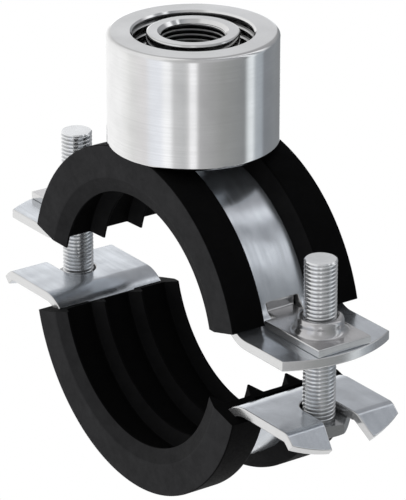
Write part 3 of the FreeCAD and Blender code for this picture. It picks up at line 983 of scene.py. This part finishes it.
class PIPECLAMP_OT_nut_plates(bpy.types.Operator):
    """Presses the two nut plates with their collars and hooked tongues"""

    bl_idname = "pipe_clamp.nut_plates"
    bl_label = "Nut plates"

    def execute(self, context):
        settings = context.scene.pipe_clamp
        for side, name in ((-1, "left_nut_plate"), (1, "right_nut_plate")):
            mesh = self.plate_mesh(settings, side)
            add_object(name + "_pressed", mesh, "zinc_plate", "upper_half", name)
        return {"FINISHED"}

    def plate_mesh(self, settings, side):
        sizes, strip = settings.plate, settings.strip
        low = strip.upper_face
        screw_x = settings.screw.spacing / 2
        line = strip_line(strip, low, False)
        hollow = 0.6 * MM
        turn_start = sizes.hook_front + hollow
        bend_length = hollow + sizes.thickness / 2
        upright = sizes.hook_top - low - sizes.thickness - hollow
        tip = turn_start - math.pi / 2 * bend_length - upright
        tongue, wide = sizes.tongue_half_width, sizes.half_width
        outline = [
            (tip, -tongue), (sizes.inner_end, -tongue), (sizes.inner_end, -wide), (sizes.outer_end, -wide),
            (sizes.outer_end, wide), (sizes.inner_end, wide), (sizes.inner_end, tongue), (tip, tongue),
        ]
        under_collar = 0.6 * MM
        hole = arc_points((screw_x, 0), sizes.collar_wall - under_collar, 0, -2 * math.pi, 48)[:-1]
        shape = punched_blank(outline, [hole], sizes.thickness, strip.edge_round)
        places = [turn_start - math.pi / 2 * bend_length * step / 8 for step in range(9)]
        places += [sizes.inner_end + (line["centre"] - sizes.inner_end) * step / 8 for step in range(1, 9)]
        slice_across(shape, places)
        for vertex in shape.verts:
            vertex.co = self.bent(vertex.co, sizes, line, turn_start, bend_length)
        self.collar(shape, settings, low, screw_x)
        if side < 0:
            for vertex in shape.verts:
                vertex.co.x = -vertex.co.x
        return smooth_mesh(shape, "pressed plate")

    def bent(self, point, sizes, line, turn_start, bend_length):
        # The plate's underside follows the bend of the ear, and the end of the tongue turns up.
        along, across, over = point
        middle = line["face"] + sizes.thickness / 2
        if along >= turn_start:
            height = middle + over
            past_bend = line["centre"] - along
            if past_bend > 0 and abs(across) > sizes.tongue_half_width:
                radius = line["bend"] - line["half"]
                ear = line["rise"] - math.sqrt(radius ** 2 - past_bend ** 2)
                height = max(height, ear + 0.1 * MM)
            return Vector((along, across, height))
        turn = min((turn_start - along) / bend_length, math.pi / 2)
        extra = max(0.0, turn_start - along - math.pi / 2 * bend_length)
        thin = 1 - (1 - sizes.hook_thickness / sizes.thickness) * turn / (math.pi / 2)
        over = sizes.thickness / 2 - (sizes.thickness / 2 - over) * thin
        radius = bend_length - over
        x = turn_start - radius * math.sin(turn)
        z = middle + bend_length - radius * math.cos(turn)
        return Vector((x, across, z + extra))

    def collar(self, shape, settings, low, screw_x):
        sizes = settings.plate
        top = low + sizes.thickness
        rim = top + sizes.collar_height
        bore, wall, foot = sizes.bore, sizes.collar_wall, sizes.collar_foot
        shoulder, fillet, crown = sizes.collar_shoulder, sizes.collar_fillet, sizes.collar_rim
        points = [(bore, low + 0.02 * MM), (wall, low + 0.02 * MM), (foot, top - 0.2 * MM)]
        for step in range(9):
            turn = math.pi / 2 * step / 8
            height = top - 0.01 * MM + fillet * (1 - math.cos(turn))
            points.append((foot - (foot - wall) * math.sin(turn), height))
        for step in range(8):
            turn = math.pi / 2 * step / 7
            points.append((crown + (wall - crown) * math.cos(turn), rim - shoulder * (1 - math.sin(turn))))
        points += [(bore + 0.3 * MM, rim), (bore + 0.1 * MM, rim - 0.1 * MM), (bore, rim - 0.3 * MM)]
        lathe(shape, points, screw_x, segments=96)


# The studio's soft panels, and what is above them. Angles are in degrees from the camera, positive
# to its right, each with the colour there.
PANELS = [
    (-180, (1.25, 1.27, 1.3)), (-170, (1.1, 1.1, 1.1)), (-150, (1.15, 1.15, 1.15)),
    (-112, (1.16, 1.16, 1.16)), (-100, (1.06, 1.06, 1.05)), (-88, (0.88, 0.88, 0.87)),
    (-66, (0.86, 0.84, 0.85)), (-58, (0.94, 0.97, 1.03)), (-44, (0.98, 1.01, 1.08)),
    (-37, (1.2, 1.21, 1.23)), (-31, (1.15, 1.16, 1.18)), (-25, (0.62, 0.62, 0.63)),
    (-12, (0.54, 0.55, 0.56)), (-7, (0.68, 0.68, 0.69)),
    (-3, (1.2, 1.2, 1.22)), (3, (1.2, 1.2, 1.22)), (8, (0.44, 0.44, 0.45)),
    (40, (0.22, 0.23, 0.225)), (72, (0.12, 0.135, 0.145)),
    (79, (0.9, 0.96, 0.99)), (85, (1.0, 1.06, 1.1)), (91, (0.38, 0.43, 0.48)),
    (103, (0.28, 0.33, 0.38)), (108, (0.08, 0.1, 0.13)), (135, (0.1, 0.12, 0.14)),
    (165, (0.06, 0.07, 0.08)), (171, (1.1, 1.12, 1.15)), (180, (1.25, 1.27, 1.3)),
]
SKY = [
    (-180, (0.33, 0.33, 0.34)), (-165, (0.5, 0.5, 0.5)), (-130, (1.0, 1.0, 1.0)),
    (-50, (0.9, 0.9, 0.9)), (-30, (0.5, 0.5, 0.5)), (30, (0.42, 0.42, 0.43)),
    (62, (0.25, 0.26, 0.28)), (70, (0.12, 0.13, 0.15)), (74, (0.25, 0.26, 0.27)),
    (76, (1.3, 1.32, 1.35)), (82, (1.3, 1.32, 1.35)), (86, (0.25, 0.26, 0.28)),
    (94, (0.2, 0.21, 0.23)), (99, (0.32, 0.33, 0.35)), (104, (1.35, 1.37, 1.4)),
    (113, (1.2, 1.2, 1.22)), (124, (0.25, 0.25, 0.27)), (160, (0.3, 0.3, 0.31)),
    (180, (0.33, 0.33, 0.34)),
]


class PIPECLAMP_OT_stage(bpy.types.Operator):
    """Sets the floor, the soft studio light and the camera"""

    bl_idname = "pipe_clamp.stage"
    bl_label = "Stage"

    def execute(self, context):
        sizes = context.scene.pipe_clamp.stage
        self.floor(sizes)
        self.world(context, sizes)
        self.back_panel(sizes)
        self.camera(context, sizes)
        context.scene.view_settings.view_transform = "Standard"
        return {"FINISHED"}

    def floor(self, sizes):
        material, shader = new_material("pale floor")
        shader.inputs["Roughness"].default_value = 0.9
        tree = material.node_tree
        grain = object_noise(tree, (1, 1, 1), 8, 2)
        tint = mixed_colour(tree, remap(tree, grain, 0, 1), (0.95, 0.95, 0.95), (0.97, 0.97, 0.97))
        tree.links.new(tint, shader.inputs["Base Color"])
        self.white_to_camera(tree, shader, sizes)
        shape = bmesh.new()
        bmesh.ops.create_circle(shape, cap_ends=True, segments=96, radius=sizes.floor_radius)
        for vertex in shape.verts:
            vertex.co.z = -sizes.floor_depth
        floor = put_in_scene("floor", plain_mesh(shape, "floor"))
        floor.data.materials.append(material)

    def white_share(self, tree, camera_share, glossy_share):
        # How much of plain white the camera sees, and how much metal shows of it.
        ray = add_node(tree, "ShaderNodeLightPath", {})
        seen = math_node(tree, "MAXIMUM", ray["Is Camera Ray"], ray["Is Transmission Ray"])
        seen = math_node(tree, "MULTIPLY", seen, camera_share)
        glossy = math_node(tree, "MULTIPLY", ray["Is Glossy Ray"], glossy_share)
        return math_node(tree, "MAXIMUM", seen, glossy)

    def white_to_camera(self, tree, shader, sizes):
        seen = self.white_share(tree, sizes.floor_glow, sizes.glossy_floor)
        white = add_node(tree, "ShaderNodeEmission", {"Strength": 1.0})[0]
        mix = add_node(tree, "ShaderNodeMixShader", {"Fac": seen, 1: shader.outputs["BSDF"], 2: white})[0]
        output = [node for node in tree.nodes if node.type == "OUTPUT_MATERIAL"][0]
        tree.links.new(mix, output.inputs["Surface"])

    def world(self, context, sizes):
        # A studio of soft panels: bright to the camera's left, greyer to its right, white behind.
        world = bpy.data.worlds.new("studio")
        context.scene.world = world
        world.use_nodes = True
        tree = world.node_tree
        tree.nodes.clear()
        place = add_node(tree, "ShaderNodeTexCoord", {})["Generated"]
        split = add_node(tree, "ShaderNodeSeparateXYZ", {0: place})
        # The angle round the camera's own direction, from 0 to 1, with 0.5 at the camera.
        facing = sizes.camera_azimuth - math.pi / 2
        turn = math_node(tree, "SUBTRACT", math_node(tree, "ARCTAN2", split["Y"], split["X"]), facing)
        part = math_node(tree, "ADD", math_node(tree, "DIVIDE", turn, 2 * math.pi), 1.5)
        part = math_node(tree, "FRACT", part)
        rise = remap(tree, split["Z"], 0, 1, 0.0, 0.55)
        room = mixed_colour(tree, rise, self.ramp(tree, part, PANELS), self.ramp(tree, part, SKY))
        backdrop = mixed_colour(tree, self.white_share(tree, 1.0, sizes.glossy_white), room, (1, 1, 1))
        background = add_node(tree, "ShaderNodeBackground", {"Color": backdrop})[0]
        add_node(tree, "ShaderNodeOutputWorld", {"Surface": background})

    def ramp(self, tree, factor, stops):
        node = tree.nodes.new("ShaderNodeValToRGB")
        elements = node.color_ramp.elements
        while len(elements) > 1:
            elements.remove(elements[-1])
        for index, (turn, level) in enumerate(stops):
            place = 0.5 + turn / 360
            element = elements[0] if index == 0 else elements.new(place)
            element.position = place
            element.color = (*level, 1)
        tree.links.new(factor, node.inputs["Fac"])
        return node.outputs["Color"]

    def back_panel(self, sizes):
        # A small soft panel behind the clamp, which the left fork shows and the right one doesn't.
        lamp = bpy.data.lights.new("back panel", "AREA")
        lamp.shape = "RECTANGLE"
        lamp.size = 0.11
        lamp.size_y = 0.09
        lamp.energy = sizes.panel_power
        panel = put_in_scene("back panel", lamp)
        panel.location = (-0.4, 0.215, 0.138)
        left_fork = Vector((-0.066, 0, -0.01))
        aim = left_fork - panel.location
        panel.rotation_euler = aim.to_track_quat("-Z", "Y").to_euler()
        panel.visible_camera = False

    def camera(self, context, sizes):
        data = bpy.data.cameras.new("camera")
        camera = put_in_scene("camera", data)
        flat = math.cos(sizes.camera_elevation)
        back = Vector((
            math.sin(sizes.camera_azimuth) * flat,
            -math.cos(sizes.camera_azimuth) * flat,
            math.sin(sizes.camera_elevation),
        ))
        camera.location = Vector(sizes.target) + back * sizes.camera_distance
        camera.rotation_euler = (-back).to_track_quat("-Z", "Y").to_euler()
        data.sensor_fit = "VERTICAL"
        data.sensor_height = 36
        data.lens = sizes.lens
        data.clip_start = 0.01
        data.clip_end = 20
        context.scene.camera = camera


class PIPECLAMP_PT_panel(bpy.types.Panel):
    """Lists the steps that build the pipe clamp"""

    bl_idname = "PIPECLAMP_PT_panel"
    bl_label = "Pipe clamp"
    bl_space_type = "VIEW_3D"
    bl_region_type = "UI"
    bl_category = "Pipe clamp"

    def draw(self, context):
        for operator in OPERATORS:
            self.layout.operator(operator.bl_idname, text=operator.bl_label)


OPERATORS = (
    PIPECLAMP_OT_stage,
    PIPECLAMP_OT_bands,
    PIPECLAMP_OT_liners,
    PIPECLAMP_OT_boss,
    PIPECLAMP_OT_nut_plates,
    PIPECLAMP_OT_screws,
)
CLASSES = (
    PIPECLAMP_StripSizes,
    PIPECLAMP_LinerSizes,
    PIPECLAMP_BossSizes,
    PIPECLAMP_ScrewSizes,
    PIPECLAMP_PlateSizes,
    PIPECLAMP_Finishes,
    PIPECLAMP_Stage,
    PIPECLAMP_Settings,
) + OPERATORS + (PIPECLAMP_PT_panel,)


def register():
    for each in CLASSES:
        bpy.utils.register_class(each)
    bpy.types.Scene.pipe_clamp = PointerProperty(type=PIPECLAMP_Settings)


def unregister():
    del bpy.types.Scene.pipe_clamp
    for each in reversed(CLASSES):
        bpy.utils.unregister_class(each)


def main():
    register()
    for step in ("stage", "bands", "liners", "boss", "nut_plates", "screws"):
        getattr(bpy.ops.pipe_clamp, step)()
    bpy.context.view_layer.update()


if __name__ == "__main__":
    main()
